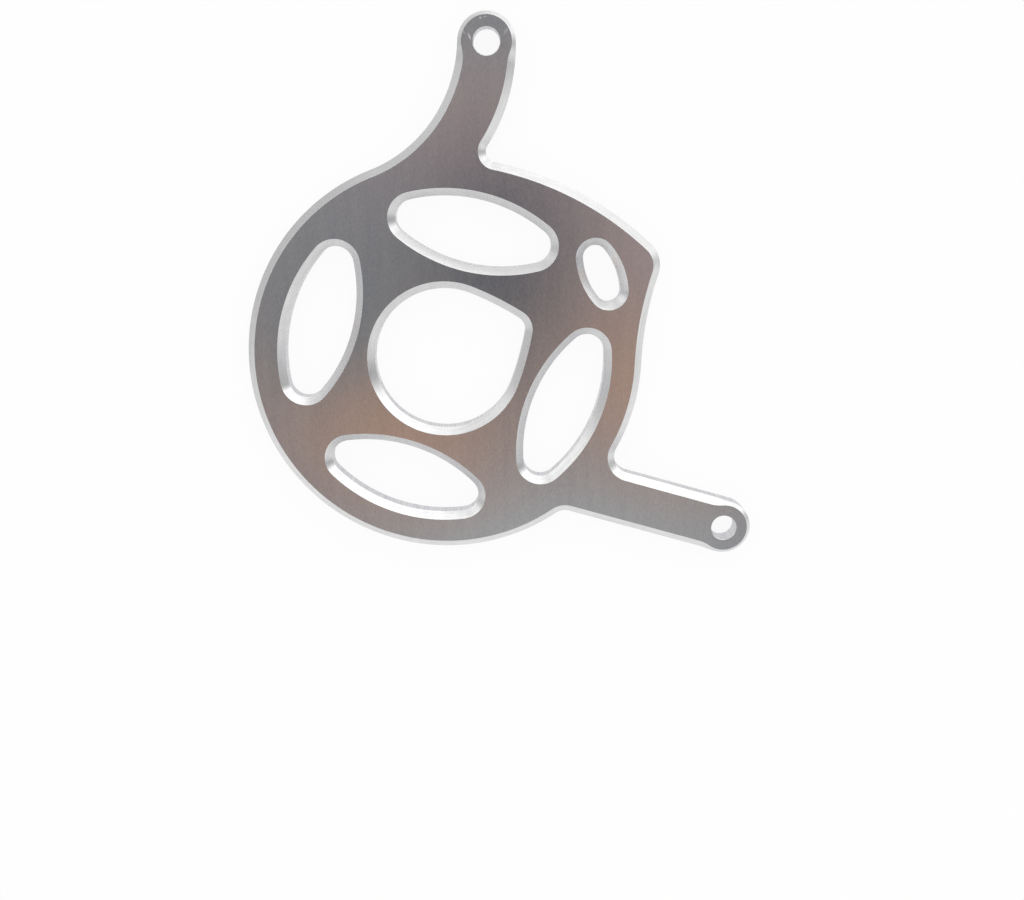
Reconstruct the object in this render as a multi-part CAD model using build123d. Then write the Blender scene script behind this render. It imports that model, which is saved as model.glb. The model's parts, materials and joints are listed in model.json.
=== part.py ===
from build123d import *
import os
from math import acos, atan2, degrees, sqrt
from typing import NamedTuple

# Motor cover: one plate, milled from aluminium sheet, with two bolt ears.
# Origin: centre of the round body, on the back face. +Z leaves the front face,
# and seen from the front +Y is up, towards the upper ear. Millimetres and degrees.
# Outlines are chains of arcs that meet without a corner. Each is drawn as a belt
# over a ring of discs, so its tangent points need no numbers of their own.

# Plate and bevel
plate_thickness = 6.0
bevel = 2.0
cutter_overrun = 0.5

# Round body, drawn out to a nose at its upper right
body_radius = 54.25
crest_radius = 89.6
crest_leaves_body_at = 83.2
flank_radius = 90.0
flank_leaves_body_at = -1.4
nose_radius = 7.8

# Bolt ears, where the bevel narrows to leave a seat round the bolt
bolt_hole_diameter = 7.0
ear_radius = 7.6
ear_bevel = 1.0
seat_blend_radius = 10.0

# Upper arm, curved
upper_hole_x = 11.75
upper_hole_y = 83.0
upper_arm_hollow_radius = 36.55
upper_arm_back_radius = 46.0
upper_arm_back_starts_at = 1.2
upper_arm_fillet_radius = 2.8

# Lower arm, straight
lower_hole_x = 78.8
lower_hole_y = -48.35
lower_arm_angle = -15.7
lower_arm_top_fillet_radius = 5.0
lower_arm_bottom_fillet_radius = 4.5

# Centre opening, a circle drawn out to a corner by two flatter sides
centre_radius = 19.35
centre_side_radius = 85.0
centre_corner_radius = 3.7
centre_corner_angle = 24.0
centre_sides_leave_at = 44.1

# Four leaf-shaped openings round the centre, mirrored about one line
leaf_width = 17.35
leaf_side_radius = 42.3
leaf_end_radius = 4.8
leaf_circle_radius = 35.4
leaf_mirror_angle = 27.35
first_leaf_angle = 49.55
leaf_pitch_angle = 86.85

# Small oval opening in the nose
oval_width = 8.1
oval_side_radius = 19.25
oval_end_radius = 3.3
oval_circle_radius = 48.75
oval_angle = 28.5
oval_tilt = -5.15

shortest_edge = 0.001


class Disc(NamedTuple):
    """A round of an outline. Its radius is negative where the outline hollows."""

    centre: Vector
    radius: float


def ray(angle):
    """Unit vector at an angle from +X."""
    return Vector(1, 0).rotate(Axis.Z, angle)


def angle_of(direction):
    """Angle from +X of a vector in the plane of the plate."""
    return degrees(atan2(direction.Y, direction.X))


def inset(disc, depth):
    """The same round, with the outline moved inwards."""
    return Disc(disc.centre, disc.radius - depth)


def touching(first, second, radius, side):
    """Round that touches two others, left (1) or right (-1) of the line between them."""
    across = second.centre - first.centre
    to_first = first.radius - radius
    to_second = second.radius - radius
    along = (to_first**2 - to_second**2 + across.length**2) / (2 * across.length)
    aside = side * sqrt(to_first**2 - along**2)
    unit = across.normalized()
    return Disc(first.centre + unit * along + unit.rotate(Axis.Z, 90) * aside, radius)


def resting(disc, radius, normal, level, way):
    """Round that touches another and a straight edge, given by its normal and level."""
    run = normal.rotate(Axis.Z, 90)
    out = level - radius
    reach = sqrt((disc.radius - radius) ** 2 - (disc.centre.dot(normal) - out) ** 2)
    return Disc(normal * out + run * (disc.centre.dot(run) + way * reach), radius)


def belt_normal(disc, following):
    """Outward normal of the outline where it passes from one round to the next."""
    across = following.centre - disc.centre
    cosine = (disc.radius - following.radius) / across.length
    return across.normalized().rotate(Axis.Z, -degrees(acos(max(-1.0, min(1.0, cosine)))))


def belt(discs):
    """Face inside a belt that runs counter-clockwise over a ring of rounds."""
    following = discs[1:] + discs[:1]
    leaving = [belt_normal(disc, after) for disc, after in zip(discs, following)]
    arriving = leaving[-1:] + leaving[:-1]
    starts = [disc.centre + normal * disc.radius for disc, normal in zip(discs, arriving)]
    next_starts = starts[1:] + starts[:1]
    edges = []
    for disc, first, last, start, after in zip(discs, arriving, leaving, starts, next_starts):
        turn = angle_of(last) - angle_of(first)
        turn = turn % 360 if disc.radius > 0 else -(-turn % 360)
        middle = disc.centre + first.rotate(Axis.Z, turn / 2) * disc.radius
        end = disc.centre + last * disc.radius
        has_straight = (after - end).length > shortest_edge
        edges.append(ThreePointArc(start, middle, end if has_straight else after))
        if has_straight:
            edges.append(Line(end, after))
    return Face(Wire(edges))


def leaf(width, side_radius, end_radius):
    """Rounds of a leaf: two long arcs and two rounded ends, its length along Y."""
    side_offset = side_radius - width / 2
    end_offset = sqrt((side_radius - end_radius) ** 2 - side_offset**2)
    right = Disc(Vector(-side_offset, 0), side_radius)
    top = Disc(Vector(0, end_offset), end_radius)
    left = Disc(Vector(side_offset, 0), side_radius)
    bottom = Disc(Vector(0, -end_offset), end_radius)
    return [right, top, left, bottom]


def milled_opening(discs):
    """Cutter for an opening: straight through, with the bevel round its mouth."""
    through = extrude(belt(discs), plate_thickness)
    foot = Pos(0, 0, plate_thickness - bevel) * belt(discs)
    mouth = Pos(0, 0, plate_thickness) * belt([inset(disc, -bevel) for disc in discs])
    return through + loft([foot, mouth], ruled=True)


# Rounds of the body and its nose
body = Disc(Vector(0, 0), body_radius)
crest = Disc(ray(crest_leaves_body_at) * (body_radius - crest_radius), crest_radius)
flank = Disc(ray(flank_leaves_body_at) * (body_radius + flank_radius), -flank_radius)
nose = touching(flank, crest, nose_radius, -1)

# Rounds of the upper arm
upper_ear = Disc(Vector(upper_hole_x, upper_hole_y), ear_radius)
arm_hollow = touching(upper_ear, body, -upper_arm_hollow_radius, -1)
arm_back_shift = ray(upper_arm_back_starts_at) * (ear_radius - upper_arm_back_radius)
arm_back = Disc(upper_ear.centre + arm_back_shift, upper_arm_back_radius)
arm_fillet = touching(crest, arm_back, -upper_arm_fillet_radius, -1)

# Rounds of the lower arm, whose straight edges touch its ear
lower_ear = Disc(Vector(lower_hole_x, lower_hole_y), ear_radius)
top_normal = ray(lower_arm_angle + 90)
bottom_normal = ray(lower_arm_angle - 90)
top_level = lower_ear.centre.dot(top_normal) + ear_radius
bottom_level = lower_ear.centre.dot(bottom_normal) + ear_radius
top_fillet = resting(body, -lower_arm_top_fillet_radius, top_normal, top_level, -1)
bottom_fillet = resting(body, -lower_arm_bottom_fillet_radius, bottom_normal, bottom_level, 1)

# Outline of the whole plate, counter-clockwise from the upper ear
left_run = [arm_hollow, body, bottom_fillet]
right_run = [top_fillet, body, flank, nose, crest, arm_fillet, arm_back]
outline = [upper_ear, *left_run, lower_ear, *right_run]

# Outline of the flat front face, blended into a seat round each bolt
upper_seat = inset(upper_ear, ear_bevel)
lower_seat = inset(lower_ear, ear_bevel)
hollow_blend = touching(upper_seat, inset(arm_hollow, bevel), -seat_blend_radius, 1)
back_blend = touching(upper_seat, inset(arm_back, bevel), -seat_blend_radius, 1)
top_blend = resting(lower_seat, -seat_blend_radius, top_normal, top_level - bevel, 1)
bottom_blend = resting(lower_seat, -seat_blend_radius, bottom_normal, bottom_level - bevel, -1)
front_left_run = [inset(disc, bevel) for disc in left_run]
front_right_run = [inset(disc, bevel) for disc in right_run]
front = [upper_seat, hollow_blend, *front_left_run, bottom_blend]
front += [lower_seat, top_blend, *front_right_run, back_blend]

# Plate, its edge bevelled by a 45 degree cutter that follows the front outline
cut_depth = bevel + cutter_overrun
cut_floor = Pos(0, 0, plate_thickness - cut_depth)
core_foot = cut_floor * belt([inset(disc, -cut_depth) for disc in front])
core_top = Pos(0, 0, plate_thickness) * belt(front)
core = loft([core_foot, core_top], ruled=True)
cutter_reach = max(upper_ear.centre.length, lower_ear.centre.length) + 2 * ear_radius
waste = extrude(cut_floor * Circle(cutter_reach), cut_depth) - core
plate = extrude(belt(outline), plate_thickness) - waste

# Centre opening
centre_round = Disc(Vector(0, 0), centre_radius)
side_shift = centre_radius - centre_side_radius
lower_side = Disc(ray(centre_corner_angle - centre_sides_leave_at) * side_shift, centre_side_radius)
upper_side = Disc(ray(centre_corner_angle + centre_sides_leave_at) * side_shift, centre_side_radius)
centre_corner = touching(lower_side, upper_side, centre_corner_radius, 1)
plate -= milled_opening([centre_round, lower_side, centre_corner, upper_side])

# Leaf openings
leaf_cutter = milled_opening(leaf(leaf_width, leaf_side_radius, leaf_end_radius))
for side in (-1, 1):
    for step in range(2):
        leaf_angle = leaf_mirror_angle + side * (first_leaf_angle + step * leaf_pitch_angle)
        plate -= Rot(0, 0, leaf_angle) * Pos(leaf_circle_radius, 0, 0) * leaf_cutter

# Oval opening
oval_cutter = milled_opening(leaf(oval_width, oval_side_radius, oval_end_radius))
oval_place = Rot(0, 0, oval_angle) * Pos(oval_circle_radius, 0, 0) * Rot(0, 0, oval_tilt)
plate -= oval_place * oval_cutter

# Bolt holes
for ear in (upper_ear, lower_ear):
    hole = extrude(Circle(bolt_hole_diameter / 2), plate_thickness)
    plate -= Pos(ear.centre.X, ear.centre.Y, 0) * hole

os.makedirs("parts", exist_ok=True)
export_step(plate, "parts/motor_cover.step")
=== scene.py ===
import cmath
import json
from math import acos, ceil, cos, pi, radians, sqrt, tan
from typing import NamedTuple

import bpy
from mathutils import Euler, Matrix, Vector


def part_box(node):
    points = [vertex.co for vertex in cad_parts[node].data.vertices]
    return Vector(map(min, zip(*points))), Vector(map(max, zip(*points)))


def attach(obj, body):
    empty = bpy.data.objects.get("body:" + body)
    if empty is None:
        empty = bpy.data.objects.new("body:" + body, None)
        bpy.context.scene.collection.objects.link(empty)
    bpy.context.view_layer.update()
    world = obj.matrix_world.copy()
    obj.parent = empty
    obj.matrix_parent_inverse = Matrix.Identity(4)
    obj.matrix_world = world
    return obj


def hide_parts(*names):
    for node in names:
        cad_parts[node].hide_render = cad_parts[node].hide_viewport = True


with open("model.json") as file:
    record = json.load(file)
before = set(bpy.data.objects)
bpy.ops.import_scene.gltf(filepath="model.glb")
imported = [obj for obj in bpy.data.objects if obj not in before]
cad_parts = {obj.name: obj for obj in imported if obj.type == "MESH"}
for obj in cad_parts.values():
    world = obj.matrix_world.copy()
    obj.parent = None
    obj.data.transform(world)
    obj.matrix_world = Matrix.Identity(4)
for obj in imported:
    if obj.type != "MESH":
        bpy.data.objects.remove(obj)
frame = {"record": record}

# Looks of a motor cover: one plate, milled from aluminium sheet, with a satin
# face, bright bevels and two bolt ears. It is laid out as an add-on, and run as
# a script. Lengths are in metres and angles in radians, and the plate lies on
# its back with +Z leaving its face.

bl_info = {
    "name": "Milled motor cover",
    "version": (1, 0, 0),
    "blender": (4, 5, 0),
    "location": "3D View > Sidebar > Motor Cover",
    "description": "Builds a bevelled aluminium motor cover and its photo stage",
    "category": "Object",
}

MM = 0.001
CAD_NODE = "motor_cover"
BODY = "root"
PLATE_NAME = "milled_plate"

# What the frame already says about the plate
FRAME_LOW, FRAME_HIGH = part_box(CAD_NODE)
MOUNTS = {mount["name"]: mount for mount in frame["record"]["mounts"]}
UPPER_HOLE = MOUNTS["upper_bolt_hole"]["pos_m"]
LOWER_HOLE = MOUNTS["lower_bolt_hole"]["pos_m"]
BOLT_HOLE_RADIUS = MOUNTS["upper_bolt_hole"]["dims"]["r_mm"] * MM
CENTRE_RADIUS = MOUNTS["centre_opening"]["dims"]["r_mm"] * MM


def length(name, default, description):
    """A size in metres that the sidebar shows as a length."""
    return bpy.props.FloatProperty(
        name=name, description=description, default=default, min=0.0, precision=5, unit="LENGTH"
    )


def angle(name, degrees, description):
    """An angle that the sidebar shows in degrees."""
    return bpy.props.FloatProperty(
        name=name, description=description, default=radians(degrees), subtype="ANGLE"
    )


def share(name, default, description):
    """A number from none to all."""
    return bpy.props.FloatProperty(
        name=name, description=description, default=default, min=0.0, max=1.0, subtype="FACTOR"
    )


def linear(hex_colour):
    """Linear red, green and blue of an sRGB hex colour."""
    channels = [int(hex_colour[k : k + 2], 16) / 255 for k in (1, 3, 5)]
    return [c / 12.92 if c <= 0.04045 else ((c + 0.055) / 1.055) ** 2.4 for c in channels]


def colour(name, hex_colour, description):
    """A colour, given as sRGB hex."""
    return bpy.props.FloatVectorProperty(
        name=name,
        description=description,
        default=linear(hex_colour),
        subtype="COLOR",
        size=3,
        min=0.0,
        max=1.0,
    )


class PlateSizes(bpy.types.PropertyGroup):
    """Sizes of the plate: its sheet, its body, its ears and its arms."""

    thickness: length("Thickness", FRAME_HIGH.z - FRAME_LOW.z, "Thickness of the sheet")
    bevel: length("Bevel", 2.0 * MM, "Width and depth of the 45 degree bevel")
    edge_radius: length("Edge radius", 0.08 * MM, "Rounding that deburring leaves on every edge")
    hole_chamfer: length("Hole chamfer", 0.15 * MM, "Deburring chamfer of a bolt hole")
    point_spacing: length("Point spacing", 0.5 * MM, "Distance between points along an edge")

    body_radius: length("Body radius", -FRAME_LOW.x, "Radius of the round body")
    crest_radius: length("Crest radius", 89.6 * MM, "Flatter arc from the upper arm to the nose")
    crest_leaves_body_at: angle("Crest leaves body at", 83.2, "Where the crest leaves the body")
    flank_radius: length("Flank radius", 90.0 * MM, "Hollow arc from the body to the nose")
    flank_leaves_body_at: angle("Flank leaves body at", -1.4, "Where the flank leaves the body")
    nose_radius: length("Nose radius", 7.8 * MM, "Rounding of the nose")

    bolt_hole_radius: length("Bolt hole radius", BOLT_HOLE_RADIUS, "Radius of both bolt holes")
    ear_radius: length("Ear radius", 7.6 * MM, "Outer radius of both bolt ears")
    ear_bevel: length("Ear bevel", 1.0 * MM, "Narrower bevel round an ear")
    seat_blend_radius: length("Seat blend radius", 10.0 * MM, "Blend from an ear's bevel to its arm's")

    arm_hollow_radius: length("Arm hollow radius", 36.55 * MM, "Hollow side of the upper arm")
    arm_back_radius: length("Arm back radius", 46.0 * MM, "Back of the upper arm")
    arm_back_starts_at: angle("Arm back starts at", 1.2, "Where the arm's back leaves its ear")
    arm_fillet_radius: length("Arm fillet radius", 2.8 * MM, "Fillet between the arm's back and the crest")
    straight_arm_angle: angle("Straight arm angle", -15.7, "Direction of the lower arm's edges")
    top_fillet_radius: length("Top fillet radius", 5.0 * MM, "Fillet above the straight arm")
    bottom_fillet_radius: length("Bottom fillet radius", 4.5 * MM, "Fillet below the straight arm")


class OpeningSizes(bpy.types.PropertyGroup):
    """Sizes of the plate's openings."""

    centre_radius: length("Centre radius", CENTRE_RADIUS, "Round part of the centre opening")
    centre_side_radius: length("Centre side radius", 85.0 * MM, "Flatter sides of the centre opening")
    centre_corner_radius: length("Centre corner radius", 3.7 * MM, "Corner of the centre opening")
    centre_corner_angle: angle("Centre corner angle", 24.0, "Direction of that corner")
    centre_sides_leave_at: angle("Centre sides leave at", 44.1, "Where its sides leave the circle")

    leaf_width: length("Leaf width", 17.35 * MM, "Width of a leaf opening")
    leaf_side_radius: length("Leaf side radius", 42.3 * MM, "Long arcs of a leaf")
    leaf_end_radius: length("Leaf end radius", 4.8 * MM, "Rounded ends of a leaf")
    leaf_circle_radius: length("Leaf circle radius", 35.4 * MM, "Distance of a leaf from the centre")
    leaf_mirror_angle: angle("Leaf mirror angle", 27.35, "Line about which the leaves are mirrored")
    first_leaf_angle: angle("First leaf angle", 49.55, "From the mirror line to the first leaf")
    leaf_pitch_angle: angle("Leaf pitch angle", 86.85, "From one leaf to the next")

    oval_width: length("Oval width", 8.1 * MM, "Width of the oval opening")
    oval_side_radius: length("Oval side radius", 19.25 * MM, "Long arcs of the oval")
    oval_end_radius: length("Oval end radius", 3.3 * MM, "Rounded ends of the oval")
    oval_circle_radius: length("Oval circle radius", 48.75 * MM, "Distance of the oval from the centre")
    oval_angle: angle("Oval angle", 28.5, "Direction of the oval from the centre")
    oval_tilt: angle("Oval tilt", -5.15, "How far the oval leans off that direction")


class PlateFinish(bpy.types.PropertyGroup):
    """Colours and roughness of the plate's surfaces."""

    face_dark: colour("Face, dark", "#7f8084", "Satin sheet, in the valleys of the brushing")
    face_light: colour("Face, light", "#8b8b8d", "Satin sheet, on the ridges of the brushing")
    face_roughness: share("Face roughness", 0.125, "How far the satin sheet blurs what it mirrors")
    scuff: colour("Scuff", "#d8d8d8", "Bare metal where the face was rubbed")
    bevel_dark: colour("Bevel, dark", "#d7d7d8", "Milled bevel, in a tool mark")
    bevel_light: colour("Bevel, light", "#e3e3e2", "Milled bevel, beside a tool mark")
    bevel_roughness: share("Bevel roughness", 0.28, "How far the bevel blurs what it mirrors")
    wall_dark: colour("Wall, dark", "#c4c4c8", "Milled wall, in a tool mark")
    wall_light: colour("Wall, light", "#dddde0", "Milled wall, beside a tool mark")
    wall_roughness: share("Wall roughness", 0.4, "How far the wall blurs what it mirrors")


class StageLook(bpy.types.PropertyGroup):
    """The paper under the plate, a grey sheet on it of painted shade that only the metal mirrors, the
    light and the camera.
    """

    camera_across: length("Camera across", 17.15 * MM, "Camera's place along X")
    camera_along: length("Camera along", 51.5 * MM, "Camera's place along Y")
    camera_height: length("Camera height", 322.45 * MM, "Camera's height over the floor")
    camera_tilt: angle("Camera tilt", 13.69, "How far the camera leans off straight down")
    camera_roll: angle("Camera roll", -0.23, "How far the camera leans sideways")
    camera_lens: bpy.props.FloatProperty(
        name="Lens", description="Focal length for a sensor 36 mm wide", default=40.88, unit="CAMERA"
    )
    floor: colour("Floor", "#f6f6f6", "Colour of the paper")
    floor_width: length("Floor width", 4.0, "Side of the paper floor")
    floor_gap: length("Floor gap", 0.02 * MM, "Gap under the plate's back")
    backdrop_height: length("Backdrop height", 1.2, "Height of the paper round the floor")
    shadow_share: share("Shadow share", 0.1, "How much of the paper's light the plate can shade")
    # Painted shade: a grey sheet that makes the paper mirrored by the upper left bevels darker than
    # elsewhere
    painted_paper_shade: colour("Grey card", "#c0c0c2", "Grey card on the paper that the bevels mirror")
    painted_paper_shade_distance: length("Grey card distance", 108.0 * MM, "Distance of its middle from the centre")
    painted_paper_shade_direction: angle("Grey card direction", 138.0, "Direction of its middle from the centre")
    painted_paper_shade_turn: angle("Grey card turn", -24.0, "Direction in which its straight side faces")
    painted_paper_shade_reach: length("Grey card reach", 56.0 * MM, "From its middle to its straight side")
    painted_paper_shade_spread: length("Grey card spread", 60.0 * MM, "How far it takes to fade elsewhere")
    dome_low: colour("Dome, low", "#ffffff", "Studio light from the sides")
    dome_high: colour("Dome, high", "#f2f3f6", "Studio light from above")


class Round(NamedTuple):
    """A round of an outline, its centre a complex number. A hollow has a negative radius."""

    centre: complex
    radius: float


def ray(direction):
    """Unit step in a direction."""
    return cmath.rect(1, direction)


def dot(a, b):
    """Scalar product of two complex numbers."""
    return (a * b.conjugate()).real


def inset(rounds, depth):
    """The same rounds, with the outline moved inwards."""
    return [Round(r.centre, r.radius - depth) for r in rounds]


def touching(first, second, radius, side):
    """Round that touches two others, left (1) or right (-1) of the line between them."""
    across = second.centre - first.centre
    to_first = first.radius - radius
    to_second = second.radius - radius
    along = (to_first**2 - to_second**2 + abs(across) ** 2) / (2 * abs(across))
    aside = side * sqrt(to_first**2 - along**2)
    return Round(first.centre + across / abs(across) * complex(along, aside), radius)


def resting(other, radius, normal, level, way):
    """Round that touches another and a straight edge, given by its normal and level."""
    run = normal * 1j
    out = level - radius
    reach = sqrt((other.radius - radius) ** 2 - (dot(other.centre, normal) - out) ** 2)
    return Round(normal * out + run * (dot(other.centre, run) + way * reach), radius)


def belt_normal(this, following):
    """Outward normal of the outline where it passes from one round to the next."""
    across = following.centre - this.centre
    cosine = (this.radius - following.radius) / abs(across)
    return across / abs(across) * ray(-acos(max(-1.0, min(1.0, cosine))))


# A belt goes round each of its rounds in at least this many steps
FEWEST_STEPS = 2
# The rest of a straight gets a step of its own above this share of one
LEAST_STEP = 0.01


def belt(rounds, spacing):
    """Points and outward normals along a belt that runs counter-clockwise over the rounds."""
    following = rounds[1:] + rounds[:1]
    leaving = [belt_normal(this, after) for this, after in zip(rounds, following)]
    arriving = leaving[-1:] + leaving[:-1]
    points = []
    for this, after, first, last in zip(rounds, following, arriving, leaving):
        turn = cmath.phase(last / first) % (2 * pi)
        if this.radius < 0:
            turn -= 2 * pi
        steps = max(FEWEST_STEPS, ceil(abs(turn * this.radius) / spacing))
        for step in range(steps):
            normal = first * ray(turn * step / steps)
            points.append((this.centre + normal * this.radius, normal))
        end = this.centre + last * this.radius
        straight = after.centre + last * after.radius - end
        steps = ceil(abs(straight) / spacing - LEAST_STEP)
        points += [(end + straight * step / steps, last) for step in range(steps)]
    return points


def leaf(width, side_radius, end_radius):
    """Rounds of a leaf: two long arcs and two rounded ends, its length along Y."""
    side_offset = side_radius - width / 2
    end_offset = sqrt((side_radius - end_radius) ** 2 - side_offset**2)
    return [
        Round(complex(-side_offset, 0), side_radius),
        Round(complex(0, end_offset), end_radius),
        Round(complex(side_offset, 0), side_radius),
        Round(complex(0, -end_offset), end_radius),
    ]


def placed(rounds, distance, direction, tilt=0.0):
    """Rounds leant about their middle, then set at a distance from the centre."""
    return [Round((r.centre * ray(tilt) + distance) * ray(direction), r.radius) for r in rounds]


def plate_outline(s):
    """Rounds of the plate's wall, and of the face inside its bevel."""
    body = Round(0j, s.body_radius)
    crest = Round(ray(s.crest_leaves_body_at) * (s.body_radius - s.crest_radius), s.crest_radius)
    flank = Round(ray(s.flank_leaves_body_at) * (s.body_radius + s.flank_radius), -s.flank_radius)
    nose = touching(flank, crest, s.nose_radius, -1)

    upper_ear = Round(complex(*UPPER_HOLE[:2]), s.ear_radius)
    arm_hollow = touching(upper_ear, body, -s.arm_hollow_radius, -1)
    back_shift = ray(s.arm_back_starts_at) * (s.ear_radius - s.arm_back_radius)
    arm_back = Round(upper_ear.centre + back_shift, s.arm_back_radius)
    arm_fillet = touching(crest, arm_back, -s.arm_fillet_radius, -1)

    lower_ear = Round(complex(*LOWER_HOLE[:2]), s.ear_radius)
    top_normal = ray(s.straight_arm_angle + pi / 2)
    bottom_normal = ray(s.straight_arm_angle - pi / 2)
    top_level = dot(lower_ear.centre, top_normal) + s.ear_radius
    bottom_level = dot(lower_ear.centre, bottom_normal) + s.ear_radius
    top_fillet = resting(body, -s.top_fillet_radius, top_normal, top_level, -1)
    bottom_fillet = resting(body, -s.bottom_fillet_radius, bottom_normal, bottom_level, 1)

    left_run = [arm_hollow, body, bottom_fillet]
    right_run = [top_fillet, body, flank, nose, crest, arm_fillet, arm_back]
    wall = [upper_ear, *left_run, lower_ear, *right_run]

    upper_seat, lower_seat = inset([upper_ear, lower_ear], s.ear_bevel)
    left_face = inset(left_run, s.bevel)
    right_face = inset(right_run, s.bevel)
    blend = -s.seat_blend_radius
    hollow_blend = touching(upper_seat, left_face[0], blend, 1)
    back_blend = touching(upper_seat, right_face[-1], blend, 1)
    top_blend = resting(lower_seat, blend, top_normal, top_level - s.bevel, 1)
    bottom_blend = resting(lower_seat, blend, bottom_normal, bottom_level - s.bevel, -1)
    face = [upper_seat, hollow_blend, *left_face, bottom_blend]
    face += [lower_seat, top_blend, *right_face, back_blend]
    return wall, face


def opening_walls(s):
    """Rounds of the wall of each opening: the centre, the leaves and the oval."""
    side_shift = s.centre_radius - s.centre_side_radius
    lower_way = ray(s.centre_corner_angle - s.centre_sides_leave_at)
    upper_way = ray(s.centre_corner_angle + s.centre_sides_leave_at)
    lower_side = Round(lower_way * side_shift, s.centre_side_radius)
    upper_side = Round(upper_way * side_shift, s.centre_side_radius)
    corner = touching(lower_side, upper_side, s.centre_corner_radius, 1)
    walls = [[Round(0j, s.centre_radius), lower_side, corner, upper_side]]

    one_leaf = leaf(s.leaf_width, s.leaf_side_radius, s.leaf_end_radius)
    for side in (-1, 1):
        for step in range(2):
            turn = s.leaf_mirror_angle + side * (s.first_leaf_angle + step * s.leaf_pitch_angle)
            walls.append(placed(one_leaf, s.leaf_circle_radius, turn))

    oval = leaf(s.oval_width, s.oval_side_radius, s.oval_end_radius)
    walls.append(placed(oval, s.oval_circle_radius, s.oval_angle, s.oval_tilt))
    return walls


class EdgePoint(NamedTuple):
    """A point on the rim of the face, and how the bevel and the wall leave it."""

    rim: complex
    bevel_way: complex
    wall_way: complex
    depth: float


# What each point carries into the geometry nodes
EDGE_FIELDS = {
    "rim": "FLOAT_VECTOR",
    "bevel_way": "FLOAT_VECTOR",
    "wall_way": "FLOAT_VECTOR",
    "depth": "FLOAT",
}


def reach_wall(point, way, stretches):
    """Distance from a point to the wall along a way, and the wall's normal there."""
    hits = []
    for (start, start_normal), (end, end_normal) in stretches:
        edge = end - start
        along = dot(point - start, way * 1j) / dot(edge, way * 1j)
        if 0 <= along <= 1:
            normal = start_normal + (end_normal - start_normal) * along
            hits.append((dot(start + edge * along - point, way), normal / abs(normal)))
    return min((hit for hit in hits if hit[0] > 0), key=lambda hit: hit[0])


# How far from a point of the rim its wall can be, in bevels
WALL_SEARCH = 2.0


def outer_rim(sizes):
    """Rim of the plate's outside, whose bevel narrows round the ears."""
    wall, face = plate_outline(sizes)
    wall_points = belt(wall, sizes.point_spacing)
    stretches = list(zip(wall_points, wall_points[1:] + wall_points[:1]))
    rim = []
    for point, normal in belt(face, sizes.point_spacing):
        near = [pair for pair in stretches if abs(pair[0][0] - point) < WALL_SEARCH * sizes.bevel]
        depth, wall_normal = reach_wall(point, normal, near)
        rim.append(EdgePoint(point, normal, wall_normal, depth))
    return rim


def opening_rim(wall, depth, spacing):
    """Rim of an opening, seen from the metal, so that its normals point into the opening."""
    face = inset(wall, -depth)
    return [EdgePoint(point, -normal, -normal, depth) for point, normal in belt(face, spacing)]


def hole_rim(centre, radius, depth, spacing):
    """Rim of a bolt hole, in four equal quarters, its points twice as close as elsewhere."""
    steps = 4 * ceil(pi * radius / spacing)
    ways = [ray(2 * pi * step / steps) for step in range(steps)]
    return [EdgePoint(centre + way * (radius + depth), -way, -way, depth) for way in ways]


def all_rims(sizes, openings):
    """Every rim of the plate."""
    spacing = sizes.point_spacing
    rims = [outer_rim(sizes)]
    rims += [opening_rim(wall, sizes.bevel, spacing) for wall in opening_walls(openings)]
    for hole in (UPPER_HOLE, LOWER_HOLE):
        centre = complex(*hole[:2])
        rims.append(hole_rim(centre, sizes.bolt_hole_radius, sizes.hole_chamfer, spacing))
    return rims


def in_plane(number):
    """A complex number as a vector in the plane of the plate."""
    return (number.real, number.imag, 0.0)


def rim_object(rims):
    """Mesh of closed lines, one for each rim, that carries what the edge section needs."""
    points = [point for rim in rims for point in rim]
    edges = []
    for rim in rims:
        first = len(edges)
        edges += [(first + k, first + (k + 1) % len(rim)) for k in range(len(rim))]
    mesh = bpy.data.meshes.new("rims")
    mesh.from_pydata([in_plane(point.rim) for point in points], edges, [])
    for name, kind in EDGE_FIELDS.items():
        values = [getattr(point, name) for point in points]
        field = mesh.attributes.new(name, kind, "POINT")
        if kind == "FLOAT_VECTOR":
            field.data.foreach_set("vector", [x for value in values for x in in_plane(value)])
        else:
            field.data.foreach_set("value", values)
    made = bpy.data.objects.new("rims", mesh)
    bpy.context.scene.collection.objects.link(made)
    return made


def add_node(tree, kind, inputs=None, **settings):
    """Adds a node with its settings, and links its inputs or sets their values.

    An input takes a value, a socket, a node, which stands for its first output,
    or a list of nodes to join.
    """
    node = tree.nodes.new(kind)
    for name, setting in settings.items():
        setattr(node, name, setting)
    for key, given in (inputs or {}).items():
        for one in given if isinstance(given, list) else [given]:
            source = one.outputs[0] if isinstance(one, bpy.types.Node) else one
            if isinstance(source, bpy.types.NodeSocket):
                tree.links.new(source, node.inputs[key])
            else:
                node.inputs[key].default_value = source
    return node


# The edge section has three rounded corners, each an arc of three rows: face to
# bevel, bevel to wall, and wall to back, where the turn is twice as wide. A row's
# lean is the angle of its normal off straight up.
CORNERS = 3
ROWS_PER_CORNER = 3
CORNER_TURN = radians(45)
HALF_CORNER = radians(22.5)
WELD_DISTANCE = 0.001 * MM
UP = (0.0, 0.0, 1.0)
DOWN = (0.0, 0.0, -1.0)


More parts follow.
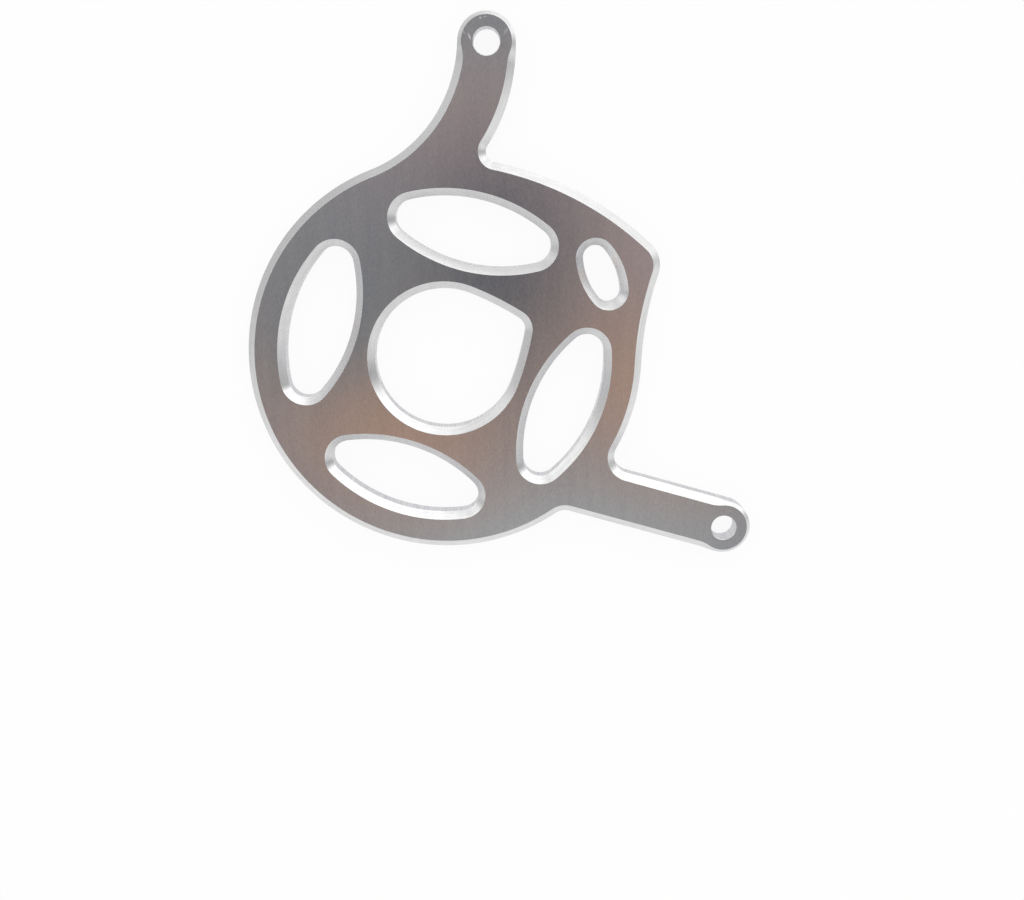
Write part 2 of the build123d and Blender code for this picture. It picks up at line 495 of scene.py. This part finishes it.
def rim_curves(tree, rims, bevel_way):
    """Rims as curves that keep the metal on their left."""
    curves = add_node(tree, "GeometryNodeMeshToCurve", {"Mesh": rims})
    tangent = add_node(tree, "GeometryNodeInputTangent")
    right_hand = add_node(tree, "ShaderNodeVectorMath", {0: tangent, 1: UP}, operation="CROSS_PRODUCT")
    facing = add_node(
        tree, "ShaderNodeVectorMath", {0: right_hand, 1: bevel_way}, operation="DOT_PRODUCT"
    ).outputs["Value"]
    backwards = add_node(tree, "ShaderNodeMath", {0: facing, 1: 0.0}, operation="LESS_THAN")
    return add_node(tree, "GeometryNodeReverseCurve", {"Curve": curves, "Selection": backwards})


def section_rows(tree):
    """The edge section as a line of numbered rows, with each row's corner and lean."""
    line = add_node(tree, "GeometryNodeCurvePrimitiveLine")
    count = CORNERS * ROWS_PER_CORNER
    rows = add_node(tree, "GeometryNodeResampleCurve", {"Curve": line, "Count": count})
    rows = add_node(
        tree,
        "GeometryNodeStoreNamedAttribute",
        {"Geometry": rows, "Name": "row", "Value": add_node(tree, "GeometryNodeInputIndex")},
        data_type="INT",
        domain="POINT",
    )
    row = add_node(tree, "GeometryNodeInputNamedAttribute", {"Name": "row"}, data_type="INT")
    split = {0: row, 1: ROWS_PER_CORNER}
    corner = add_node(tree, "FunctionNodeIntegerMath", split, operation="DIVIDE_FLOOR")
    step = add_node(tree, "FunctionNodeIntegerMath", split, operation="MODULO")
    at_back = add_node(tree, "ShaderNodeMath", {0: corner, 1: CORNERS - 2}, operation="GREATER_THAN")
    step_turn = add_node(
        tree, "ShaderNodeMath", {0: at_back, 1: HALF_CORNER, 2: HALF_CORNER}, operation="MULTIPLY_ADD"
    )
    turned = add_node(tree, "ShaderNodeMath", {0: step, 1: step_turn}, operation="MULTIPLY")
    lean = add_node(
        tree, "ShaderNodeMath", {0: corner, 1: CORNER_TURN, 2: turned}, operation="MULTIPLY_ADD"
    )
    return rows, corner, lean


def corner_centre(tree, corner, thickness, depth, edge, slack):
    """Centre of a corner's arc: X past the rim or the wall, Z above the back."""
    inside = add_node(tree, "ShaderNodeMath", {0: edge, 1: -1.0}, operation="MULTIPLY")
    short = add_node(tree, "ShaderNodeMath", {0: slack, 1: -1.0}, operation="MULTIPLY")
    face_height = add_node(tree, "ShaderNodeMath", {0: thickness, 1: edge}, operation="SUBTRACT")
    foot_height = add_node(tree, "ShaderNodeMath", {0: thickness, 1: depth}, operation="SUBTRACT")
    foot_height = add_node(tree, "ShaderNodeMath", {0: foot_height, 1: slack}, operation="SUBTRACT")
    chosen = add_node(tree, "GeometryNodeIndexSwitch", {"Index": corner}, data_type="VECTOR")
    chosen.index_switch_items.new()
    places = ((short, face_height), (inside, foot_height), (inside, edge))
    for item, (past, height) in enumerate(places, start=1):
        centre = add_node(tree, "ShaderNodeCombineXYZ", {"X": past, "Z": height})
        tree.links.new(centre.outputs[0], chosen.inputs[item])
    return chosen


def walked(tree, place, steps):
    """A place after some steps, each a way and how far to go along it."""
    for way, distance in steps:
        step = {0: way, 1: distance, 2: place}
        place = add_node(tree, "ShaderNodeVectorMath", step, operation="MULTIPLY_ADD")
    return place


def swept_edge(tree, curves, fields, thickness, edge, slack):
    """Bevels and walls, swept along the rims, and the smooth normal of each row."""
    rows, corner, lean = section_rows(tree)
    strip = add_node(tree, "GeometryNodeCurveToMesh", {"Curve": curves, "Profile Curve": rows})
    sine = add_node(tree, "ShaderNodeMath", {0: lean}, operation="SINE")
    cosine = add_node(tree, "ShaderNodeMath", {0: lean}, operation="COSINE")
    leaning = add_node(tree, "ShaderNodeCombineXYZ", {"X": sine, "Z": cosine})
    centre = corner_centre(tree, corner, thickness, fields["depth"], edge, slack)
    spot = add_node(
        tree, "ShaderNodeVectorMath", {0: leaning, 1: edge, 2: centre}, operation="MULTIPLY_ADD"
    )
    spot = add_node(tree, "ShaderNodeSeparateXYZ", {0: spot}).outputs

    # The bevel leaves the rim one way, and the wall below may face another
    on_wall = {0: lean, 1: CORNER_TURN + HALF_CORNER / 2}
    on_wall = add_node(tree, "ShaderNodeMath", on_wall, operation="GREATER_THAN")
    ways = {0: on_wall, 4: fields["bevel_way"], 5: fields["wall_way"]}
    way = add_node(tree, "ShaderNodeMix", ways, data_type="VECTOR").outputs[1]
    below = add_node(tree, "ShaderNodeMath", {0: corner, 1: 1.0}, operation="MINIMUM")
    foot = add_node(tree, "ShaderNodeMath", {0: below, 1: fields["depth"]}, operation="MULTIPLY")
    steps = ((fields["bevel_way"], foot), (way, spot["X"]), (UP, spot["Z"]))
    place = walked(tree, fields["rim"], steps)
    strip = add_node(tree, "GeometryNodeSetPosition", {"Geometry": strip, "Position": place})
    rise = add_node(tree, "ShaderNodeCombineXYZ", {"Z": cosine})
    normal = add_node(tree, "ShaderNodeVectorMath", {0: way, 1: sine, 2: rise}, operation="MULTIPLY_ADD")
    return strip, normal


def filled(tree, curves, fields, height, steps):
    """A flat face between the rims, after they have taken some steps, and lifted."""
    place = walked(tree, fields["rim"], steps)
    edge = add_node(tree, "GeometryNodeSetPosition", {"Geometry": curves, "Position": place})
    face = add_node(tree, "GeometryNodeFillCurve", {"Curve": edge})
    lift = add_node(tree, "ShaderNodeCombineXYZ", {"Z": height})
    return add_node(tree, "GeometryNodeSetPosition", {"Geometry": face, "Offset": lift})


def plate_tree(finishes):
    """Geometry nodes that mill the plate: edges swept along the rims, face and back filled in."""
    tree = bpy.data.node_groups.new("Milled plate", "GeometryNodeTree")
    sockets = {}
    for name, kind in (("Rims", "Geometry"), ("Thickness", "Float"), ("Edge Radius", "Float")):
        sockets[name] = tree.interface.new_socket(name, in_out="INPUT", socket_type="NodeSocket" + kind)
    tree.interface.new_socket("Plate", in_out="OUTPUT", socket_type="NodeSocketGeometry")
    given = add_node(tree, "NodeGroupInput").outputs
    thickness, edge = given["Thickness"], given["Edge Radius"]
    fields = {}
    for name, kind in EDGE_FIELDS.items():
        fields[name] = add_node(tree, "GeometryNodeInputNamedAttribute", {"Name": name}, data_type=kind)

    curves = rim_curves(tree, given["Rims"], fields["bevel_way"])
    slack = add_node(tree, "ShaderNodeMath", {0: edge, 1: tan(HALF_CORNER)}, operation="MULTIPLY")
    strip, leaning = swept_edge(tree, curves, fields, thickness, edge, slack)
    short = add_node(tree, "ShaderNodeMath", {0: slack, 1: -1.0}, operation="MULTIPLY")
    inside = add_node(tree, "ShaderNodeMath", {0: edge, 1: -1.0}, operation="MULTIPLY")
    face = filled(tree, curves, fields, thickness, [(fields["bevel_way"], short)])
    back_steps = [(fields["bevel_way"], fields["depth"]), (fields["wall_way"], inside)]
    back = filled(tree, curves, fields, 0.0, back_steps)
    back = add_node(tree, "GeometryNodeFlipFaces", {"Mesh": back})

    # Weld the parts, and shade them by their true normals
    parts = []
    for part, normal in ((strip, leaning), (face, UP), (back, DOWN)):
        inputs = {"Geometry": part, "Name": "true_normal", "Value": normal}
        part = add_node(
            tree, "GeometryNodeStoreNamedAttribute", inputs, data_type="FLOAT_VECTOR", domain="POINT"
        )
        parts.append(part)
    plate = add_node(tree, "GeometryNodeJoinGeometry", {0: parts})
    plate = add_node(
        tree, "GeometryNodeMergeByDistance", {"Geometry": plate, "Distance": WELD_DISTANCE}
    )
    true_normal = add_node(
        tree, "GeometryNodeInputNamedAttribute", {"Name": "true_normal"}, data_type="FLOAT_VECTOR"
    )
    plate = add_node(
        tree,
        "GeometryNodeSetMeshNormal",
        {"Mesh": plate, "Custom Normal": true_normal},
        mode="FREE",
        domain="POINT",
    )
    plate = add_node(tree, "GeometryNodeRealizeInstances", {"Geometry": plate})

    # Each surface gets its finish by how far it faces up or down
    facing = add_node(tree, "GeometryNodeInputNormal")
    upward = add_node(tree, "ShaderNodeSeparateXYZ", {0: facing}).outputs["Z"]
    plate = add_node(tree, "GeometryNodeSetMaterial", {"Geometry": plate, "Material": finishes["wall"]})
    surfaces = (
        ("bevel", "GREATER_THAN", cos(CORNER_TURN + HALF_CORNER)),
        ("face", "GREATER_THAN", cos(HALF_CORNER)),
        ("back", "LESS_THAN", -cos(HALF_CORNER)),
    )
    for name, test, limit in surfaces:
        there = add_node(tree, "ShaderNodeMath", {0: upward, 1: limit}, operation=test)
        inputs = {"Geometry": plate, "Selection": there, "Material": finishes[name]}
        plate = add_node(tree, "GeometryNodeSetMaterial", inputs)
    add_node(tree, "NodeGroupOutput", {0: plate})
    return tree, sockets


def plain_object(source, name):
    """The evaluated object as a plain mesh object. The source is removed."""
    graph = bpy.context.evaluated_depsgraph_get()
    evaluated = source.evaluated_get(graph)
    mesh = bpy.data.meshes.new_from_object(evaluated, preserve_all_data_layers=True, depsgraph=graph)
    source.modifiers.clear()
    bpy.data.objects.remove(source)
    while None in mesh.materials[:]:
        mesh.materials.pop(index=mesh.materials[:].index(None))
    mesh.name = name
    made = bpy.data.objects.new(name, mesh)
    bpy.context.scene.collection.objects.link(made)
    return made


def empty_tree(block):
    """The node tree of a material or a world, with nothing in it."""
    block.use_nodes = True
    block.node_tree.nodes.clear()
    return block.node_tree


# Most of a noise lies between these two levels
NOISE_LOW = 0.33
NOISE_HIGH = 0.67
# How far the marks change a metal's roughness, either way
ROUGHNESS_CHANGE = 0.1


def opaque(colour_value):
    """A colour with full alpha."""
    return (*colour_value, 1.0)


def marked(tree, marks, dark, light, roughness, change):
    """The marks at their full range, with the tone and the roughness that follow them."""
    spread = {"Value": marks, "From Min": NOISE_LOW, "From Max": NOISE_HIGH}
    marks = add_node(tree, "ShaderNodeMapRange", spread)
    ends = {0: marks, 6: opaque(dark), 7: opaque(light)}
    tone = add_node(tree, "ShaderNodeMix", ends, data_type="RGBA").outputs[2]
    span = {"Value": marks, "To Min": roughness * (1 - change), "To Max": roughness * (1 + change)}
    return marks, tone, add_node(tree, "ShaderNodeMapRange", span)


def end_in_metal(tree, skin, relief, relief_height):
    """Ends a material in bare metal with this skin and a fine relief."""
    bump = {"Height": relief, "Distance": relief_height, "Strength": 1.0}
    bump = add_node(tree, "ShaderNodeBump", bump)
    metal = add_node(tree, "ShaderNodeBsdfPrincipled", {"Metallic": 1.0, "Normal": bump} | skin)
    add_node(tree, "ShaderNodeOutputMaterial", {"Surface": metal})


class Scuff(NamedTuple):
    """A short rub mark on the face: its middle, direction, length, width and how bare it is."""

    across: float
    along: float
    direction: float
    length: float
    width: float
    bareness: float


# Across, along, direction, length, width and bareness
SCUFFS = (
    Scuff(10.2 * MM, 88.7 * MM, radians(0), 0.8 * MM, 0.6 * MM, 0.5),
    Scuff(11.4 * MM, 89.0 * MM, radians(0), 1.2 * MM, 0.4 * MM, 0.35),
    Scuff(7.4 * MM, 84.1 * MM, radians(-68), 1.8 * MM, 0.55 * MM, 0.7),
    Scuff(5.9 * MM, 85.2 * MM, radians(-63), 1.3 * MM, 0.4 * MM, 0.3),
    Scuff(16.8 * MM, 85.5 * MM, radians(56), 2.4 * MM, 0.8 * MM, 0.25),
)
SCUFF_GRIT = 0.4 * MM
# A mark is whole up to the first of these distances from its middle, and gone at
# the second. They are in halves of its size, with about 0.5 of grit added.
SCUFF_WHOLE = 0.7
SCUFF_GONE = 1.7


def scuffed(tree, place, tone, mark, scuff_tone):
    """The tone with one rub mark on it, ragged along its edge."""
    on_mark = {
        "Vector": place,
        "Location": (mark.across, mark.along, 0.0),
        "Rotation": (0.0, 0.0, mark.direction),
        "Scale": (mark.length / 2, mark.width / 2, 1.0),
    }
    moved = add_node(tree, "ShaderNodeMapping", on_mark, vector_type="TEXTURE")
    flat = add_node(tree, "ShaderNodeVectorMath", {0: moved, 1: (1.0, 1.0, 0.0)}, operation="MULTIPLY")
    away = add_node(tree, "ShaderNodeVectorMath", {0: flat}, operation="LENGTH").outputs["Value"]
    ragged = add_node(tree, "ShaderNodeTexNoise", {"Vector": place, "Scale": 1 / SCUFF_GRIT})
    edge = add_node(tree, "ShaderNodeMath", {0: away, 1: ragged}, operation="ADD")
    fade = {"Value": edge, "From Min": SCUFF_WHOLE, "From Max": SCUFF_GONE}
    fade |= {"To Min": mark.bareness, "To Max": 0.0}
    cover = add_node(tree, "ShaderNodeMapRange", fade)
    ends = {0: cover, 6: tone, 7: opaque(scuff_tone)}
    return add_node(tree, "ShaderNodeMix", ends, data_type="RGBA").outputs[2]


class Brushing(NamedTuple):
    """How a belt left the sheet: its lines, its wider bands, and how they draw out light."""

    line_width: float
    line_length: float
    band_width: float
    band_length: float
    band_share: float
    line_height: float
    drawn_out: float


# Real lines are about 0.05 mm wide, which is too fine to show here, so they are
# drawn wider.
SHEET_BRUSHING = Brushing(
    line_width=0.3 * MM,
    line_length=0.9 * MM,
    band_width=2.2 * MM,
    band_length=24.0 * MM,
    band_share=0.3,
    line_height=0.0006 * MM,
    drawn_out=0.1,
)


def sheet_material(name, look, brushing, scuffs=()):
    """Aluminium sheet with a fine brushed satin skin, as rolled and linished.

    The brushing runs up the plate, so it gives faint upright lines and draws
    highlights out sideways.
    """
    material = bpy.data.materials.new(name)
    tree = empty_tree(material)
    place = add_node(tree, "ShaderNodeTexCoord").outputs["Object"]
    layers = []
    sizes = (brushing.line_width, brushing.line_length), (brushing.band_width, brushing.band_length)
    for width, run in sizes:
        stretch = {"Vector": place, "Scale": (1 / width, 1 / run, 1 / run)}
        mapped = add_node(tree, "ShaderNodeMapping", stretch)
        layers.append(add_node(tree, "ShaderNodeTexNoise", {"Vector": mapped, "Scale": 1.0}))
    blend = {0: brushing.band_share, 2: layers[0], 3: layers[1]}
    lines = add_node(tree, "ShaderNodeMix", blend, data_type="FLOAT")
    lines, tone, roughness = marked(
        tree, lines, look.face_dark, look.face_light, look.face_roughness, ROUGHNESS_CHANGE
    )
    for mark in scuffs:
        tone = scuffed(tree, place, tone, mark, look.scuff)
    sideways = add_node(tree, "ShaderNodeCombineXYZ", {"X": 1.0})
    skin = {"Base Color": tone, "Roughness": roughness, "Tangent": sideways}
    skin["Anisotropic"] = brushing.drawn_out
    end_in_metal(tree, skin, lines, brushing.line_height)
    return material


class Cut(NamedTuple):
    """How a cutter left a surface: the spacing and height of its marks, and how they draw out light."""

    along_edge: float
    up_edge: float
    mark_height: float
    drawn_out: float


# A bevel cutter leaves lines that follow the edge, and the side of an end mill
# leaves upright ones. Real lines are about 0.1 mm apart, which is too fine to
# show here, so they are drawn wider.
BEVEL_CUT = Cut(along_edge=7.0 * MM, up_edge=0.45 * MM, mark_height=0.001 * MM, drawn_out=0.6)
WALL_CUT = Cut(along_edge=0.4 * MM, up_edge=9.0 * MM, mark_height=0.003 * MM, drawn_out=0.0)
PATCH_PITCH = 1.6 * MM
PATCH_SHARE = 0.3


def milled_material(name, dark, light, roughness, cut):
    """Aluminium as a cutter leaves it: bare and bright, with fine lines.

    The lines follow the edge, because they read where on the rim a point lies.
    On a bevel they draw highlights out down its slope.
    """
    material = bpy.data.materials.new(name)
    tree = empty_tree(material)
    place = add_node(tree, "ShaderNodeTexCoord").outputs["Object"]
    rim = add_node(tree, "ShaderNodeAttribute", attribute_name="rim", attribute_type="GEOMETRY")
    rim = rim.outputs["Vector"]
    height = {0: place, 1: (0.0, 0.0, 1 / cut.up_edge)}
    height = add_node(tree, "ShaderNodeVectorMath", height, operation="MULTIPLY")
    spot = {0: rim, 1: (1 / cut.along_edge,) * 3, 2: height}
    spot = add_node(tree, "ShaderNodeVectorMath", spot, operation="MULTIPLY_ADD")
    lines = add_node(tree, "ShaderNodeTexNoise", {"Vector": spot, "Scale": 1.0})
    patches = add_node(tree, "ShaderNodeTexNoise", {"Vector": rim, "Scale": 1 / PATCH_PITCH})
    blend = {0: PATCH_SHARE, 2: lines, 3: patches}
    marks = add_node(tree, "ShaderNodeMix", blend, data_type="FLOAT")
    _, tone, roughness = marked(tree, marks, dark, light, roughness, -ROUGHNESS_CHANGE)
    slope = add_node(tree, "ShaderNodeAttribute", attribute_name="bevel_way", attribute_type="GEOMETRY")
    slope = slope.outputs["Vector"]
    skin = {"Base Color": tone, "Roughness": roughness, "Tangent": slope}
    skin["Anisotropic"] = cut.drawn_out
    end_in_metal(tree, skin, lines, cut.mark_height)
    return material


def plate_finishes(look):
    """The four finishes of the plate, by surface."""
    face = sheet_material("satin_brushed_aluminium", look, SHEET_BRUSHING, SCUFFS)
    back = sheet_material("satin_brushed_aluminium_back", look, SHEET_BRUSHING)
    bevel = milled_material(
        "bright_milled_aluminium", look.bevel_dark, look.bevel_light, look.bevel_roughness, BEVEL_CUT
    )
    wall = milled_material(
        "side_milled_aluminium", look.wall_dark, look.wall_light, look.wall_roughness, WALL_CUT
    )
    return {"face": face, "back": back, "bevel": bevel, "wall": wall}


class MOTORCOVER_OT_mill_plate(bpy.types.Operator):
    """Mill the plate with its openings, bevels and bolt ears"""

    bl_idname = "motor_cover.mill_plate"
    bl_label = "Mill Plate"

    def execute(self, context):
        scene = context.scene
        rims = rim_object(all_rims(scene.plate_sizes, scene.opening_sizes))
        tree, sockets = plate_tree(plate_finishes(scene.plate_finish))
        modifier = rims.modifiers.new("Milling", "NODES")
        modifier.node_group = tree
        modifier[sockets["Thickness"].identifier] = scene.plate_sizes.thickness
        modifier[sockets["Edge Radius"].identifier] = scene.plate_sizes.edge_radius
        plate = plain_object(rims, PLATE_NAME)
        if not plate.data.polygons:
            raise RuntimeError("The plate has no faces: check its sizes")
        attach(plate, BODY)
        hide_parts(CAD_NODE)
        return {"FINISHED"}


class Card(NamedTuple):
    """A soft card in the studio: where it hangs, how wide and tall it looks, and its light."""

    azimuth: float
    elevation: float
    width: float
    height: float
    tone: str
    strength: float = 1.0


# Cards by the angle at which the plate sees them, in degrees. Those at the sides
# show in the bevels, and those overhead in the satin face.
CARDS = (
    Card(azimuth=70, elevation=19, width=29, height=8, tone="#ffffff", strength=2.2),
    Card(azimuth=149, elevation=18, width=16, height=6, tone="#ffffff", strength=2.2),
    Card(azimuth=28, elevation=18, width=7, height=10, tone="#ffffff", strength=2.3),
    Card(azimuth=69, elevation=1, width=13.5, height=6.5, tone="#ffffff", strength=2.8),
    Card(azimuth=3, elevation=5, width=9, height=11, tone="#626264"),
    Card(azimuth=178, elevation=13, width=8.5, height=9, tone="#c4c4c6"),
    Card(azimuth=142, elevation=0.5, width=32, height=6, tone="#303032"),
    Card(azimuth=73, elevation=8.5, width=21, height=2.7, tone="#78787a"),
    Card(azimuth=-84, elevation=70, width=6.5, height=3.0, tone="#eafcff", strength=1.8),
    Card(azimuth=-58, elevation=78, width=2.8, height=4.6, tone="#ffd1b3", strength=1.67),
    Card(azimuth=-118, elevation=77, width=4.8, height=3.5, tone="#ffcaa7", strength=1.8),
    Card(azimuth=60, elevation=88.5, width=8.8, height=3.2, tone="#ffe1d9", strength=1.54),
    Card(azimuth=-94, elevation=86, width=3.0, height=4.5, tone="#98a2ab"),
    Card(azimuth=-138, elevation=78.5, width=2.5, height=2.7, tone="#bfdae4"),
    Card(azimuth=98, elevation=82.4, width=7.0, height=1.9, tone="#f4fcfd"),
)
# How deep a card's cover is along its own direction, on a dome of radius 1
CARD_DEPTH = 0.35
# The grey sheet of painted paper shade runs on until it covers about 1 per cent, this many spreads away
CARD_RIM = 3.0
# How high a direction rises, of 1 for straight up, where the dome starts and ends
# to turn from its low colour to its high one
DOME_LOW_TO = 0.3
DOME_HIGH_FROM = 0.95


def soft_cover(tree, place, middle, turn, spread):
    """How far a soft card covers a place: fully in its middle, and less towards its rim."""
    on_card = {"Vector": place, "Location": middle, "Rotation": turn, "Scale": spread}
    off = add_node(tree, "ShaderNodeMapping", on_card, vector_type="TEXTURE")
    square = add_node(
        tree, "ShaderNodeVectorMath", {0: off, 1: off}, operation="DOT_PRODUCT"
    ).outputs["Value"]

    # A bell curve: e to the power of minus half the squared distance
    fall = add_node(tree, "ShaderNodeMath", {0: square, 1: -0.5}, operation="MULTIPLY")
    return add_node(tree, "ShaderNodeMath", {0: fall}, operation="EXPONENT")


def light_studio(look):
    """World light: a soft dome, paler at its sides, with cards that fade towards their rims."""
    world = bpy.data.worlds.new("studio")
    tree = empty_tree(world)
    way = add_node(tree, "ShaderNodeTexCoord").outputs["Generated"]
    up = add_node(tree, "ShaderNodeSeparateXYZ", {0: way}).outputs["Z"]
    rise = {"Value": up, "From Min": DOME_LOW_TO, "From Max": DOME_HIGH_FROM}
    climb = add_node(tree, "ShaderNodeMapRange", rise, interpolation_type="SMOOTHSTEP")
    ends = {0: climb, 6: opaque(look.dome_low), 7: opaque(look.dome_high)}
    tone = add_node(tree, "ShaderNodeMix", ends, data_type="RGBA").outputs[2]
    for card in CARDS:
        # A card's own Z points at it, and its X runs along the horizon
        turn = Euler((radians(90 - card.elevation), 0, radians(card.azimuth + 90)))
        spread = (radians(card.width), radians(card.height), CARD_DEPTH)
        cover = soft_cover(tree, way, turn.to_matrix() @ Vector(UP), turn, spread)
        lit = opaque([channel * card.strength for channel in linear(card.tone)])
        tone = add_node(tree, "ShaderNodeMix", {0: cover, 6: tone, 7: lit}, data_type="RGBA").outputs[2]
    background = add_node(tree, "ShaderNodeBackground", {"Color": tone, "Strength": 1.0})
    add_node(tree, "ShaderNodeOutputWorld", {"Surface": background})
    bpy.context.scene.world = world


def paper_material(look):
    """White paper. It glows a little to the eye, and still shows the plate's shadow."""
    material = bpy.data.materials.new("white_paper")
    tree = empty_tree(material)
    path = add_node(tree, "ShaderNodeLightPath").outputs
    seen = path["Is Camera Ray"]
    for other in ("Is Glossy Ray", "Is Transmission Ray"):
        seen = add_node(tree, "ShaderNodeMath", {0: seen, 1: path[other]}, operation="MAXIMUM")
    matt = add_node(tree, "ShaderNodeBsdfDiffuse", {"Color": opaque(look.floor)})
    glow = add_node(tree, "ShaderNodeEmission", {"Color": opaque(linear("#ffffff")), "Strength": 1.0})
    pale = add_node(tree, "ShaderNodeMixShader", {0: look.shadow_share, 1: glow, 2: matt})
    shown = add_node(tree, "ShaderNodeMixShader", {0: seen, 1: matt, 2: pale})
    add_node(tree, "ShaderNodeOutputMaterial", {"Surface": shown})
    return material


def painted_paper_shade_material(look, middle):
    """Painted shade of the paper: a grey glow that thins out to nothing, so that no rim of it shows in the
    metal.
    """
    material = bpy.data.materials.new("painted_paper_shade")
    tree = empty_tree(material)
    place = add_node(tree, "ShaderNodeTexCoord").outputs["Object"]
    turn = (0.0, 0.0, look.painted_paper_shade_turn)
    cover = soft_cover(tree, place, in_plane(middle), turn, (look.painted_paper_shade_spread,) * 3)
    clear = add_node(tree, "ShaderNodeBsdfTransparent")
    # A grey glow: painted shade of the paper, seen only in the metal's reflections
    grey = add_node(tree, "ShaderNodeEmission", {"Color": opaque(look.painted_paper_shade), "Strength": 1.0})
    shown = add_node(tree, "ShaderNodeMixShader", {0: cover, 1: clear, 2: grey})
    add_node(tree, "ShaderNodeOutputMaterial", {"Surface": shown})
    return material


def staged(name, points, faces, material, hidden_from=()):
    """A plain object of the stage, hidden from some kinds of ray."""
    mesh = bpy.data.meshes.new(name)
    mesh.from_pydata(points, [], faces)
    mesh.materials.append(material)
    made = bpy.data.objects.new(name, mesh)
    bpy.context.scene.collection.objects.link(made)
    for kind in hidden_from:
        setattr(made, "visible_" + kind, False)


def lay_paper(look):
    """A flat paper floor just under the plate, and paper walls round it.

    The walls keep no light off the plate, because only the camera sees them.
    """
    half = look.floor_width / 2
    sides = ((-half, -half), (half, -half), (half, half), (-half, half))
    low = [(*side, -look.floor_gap) for side in sides]
    high = [(*side, look.backdrop_height) for side in sides]
    walls = [(k, k + 4, (k + 1) % 4 + 4, (k + 1) % 4) for k in range(4)]
    paper = paper_material(look)
    staged("floor", low, [(0, 1, 2, 3)], paper)
    staged("backdrop", low + high, walls, paper, ("diffuse", "glossy", "transmission", "shadow"))


def lay_painted_paper_shade(look):
    """Painted shade on the paper: a grey sheet just above it, with its straight side under the plate's
    upper left rim.

    It stands in for the paper lying in shade there, and gives the bright bevels there an edge against the
    white paper. Only the metal sees it.
    """
    middle = cmath.rect(look.painted_paper_shade_distance, look.painted_paper_shade_direction)
    far = CARD_RIM * look.painted_paper_shade_spread
    reach = look.painted_paper_shade_reach
    corners = (complex(-far, -far), complex(reach, -far), complex(reach, far), complex(-far, far))
    spots = [middle + corner * ray(look.painted_paper_shade_turn) for corner in corners]
    height = -look.floor_gap / 2
    points = [(spot.real, spot.imag, height) for spot in spots]
    card = painted_paper_shade_material(look, middle)
    hidden_from = ("camera", "diffuse", "transmission", "shadow")
    staged("painted_paper_shade", points, [(0, 1, 2, 3)], card, hidden_from)


# Blender takes the sensor in millimetres
SENSOR_WIDTH = 36.0
NEAREST_SEEN = 10.0 * MM
FARTHEST_SEEN = 20.0


def place_camera(look):
    """Camera over the plate, at the photograph's viewing angle."""
    camera = bpy.data.objects.new("camera", bpy.data.cameras.new("camera"))
    camera.data.sensor_fit = "HORIZONTAL"
    camera.data.sensor_width = SENSOR_WIDTH
    camera.data.lens = look.camera_lens
    camera.data.clip_start = NEAREST_SEEN
    camera.data.clip_end = FARTHEST_SEEN
    camera.location = (look.camera_across, look.camera_along, look.camera_height)
    camera.rotation_mode = "ZYX"
    camera.rotation_euler = (-look.camera_tilt, look.camera_roll, 0.0)
    bpy.context.scene.collection.objects.link(camera)
    bpy.context.scene.camera = camera


class MOTORCOVER_OT_set_stage(bpy.types.Operator):
    """Lay the paper, light the studio and place the camera"""

    bl_idname = "motor_cover.set_stage"
    bl_label = "Set Stage"

    def execute(self, context):
        look = context.scene.stage_look
        lay_paper(look)
        # Painted shade on the paper, which only the metal mirrors
        lay_painted_paper_shade(look)
        light_studio(look)
        place_camera(look)
        context.scene.view_settings.view_transform = "Standard"
        return {"FINISHED"}


class MOTORCOVER_PT_sidebar(bpy.types.Panel):
    """The plate's steps, sizes and finishes"""

    bl_idname = "MOTORCOVER_PT_sidebar"
    bl_label = "Motor Cover"
    bl_space_type = "VIEW_3D"
    bl_region_type = "UI"
    bl_category = "Motor Cover"

    def draw(self, context):
        for operator in (MOTORCOVER_OT_mill_plate, MOTORCOVER_OT_set_stage):
            self.layout.operator(operator.bl_idname)
        for group_name in GROUPS:
            box = self.layout.box()
            group = getattr(context.scene, group_name)
            for name in group.__annotations__:
                box.prop(group, name)


GROUPS = {
    "plate_sizes": PlateSizes,
    "opening_sizes": OpeningSizes,
    "plate_finish": PlateFinish,
    "stage_look": StageLook,
}
CLASSES = (*GROUPS.values(), MOTORCOVER_OT_mill_plate, MOTORCOVER_OT_set_stage, MOTORCOVER_PT_sidebar)


def register():
    for one in CLASSES:
        bpy.utils.register_class(one)
    for name, group in GROUPS.items():
        setattr(bpy.types.Scene, name, bpy.props.PointerProperty(type=group))


def unregister():
    for name in GROUPS:
        delattr(bpy.types.Scene, name)
    for one in reversed(CLASSES):
        bpy.utils.unregister_class(one)


def main():
    """Builds the plate and its stage."""
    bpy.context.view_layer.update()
    register()
    bpy.ops.motor_cover.mill_plate()
    bpy.ops.motor_cover.set_stage()


if __name__ == "__main__":
    main()
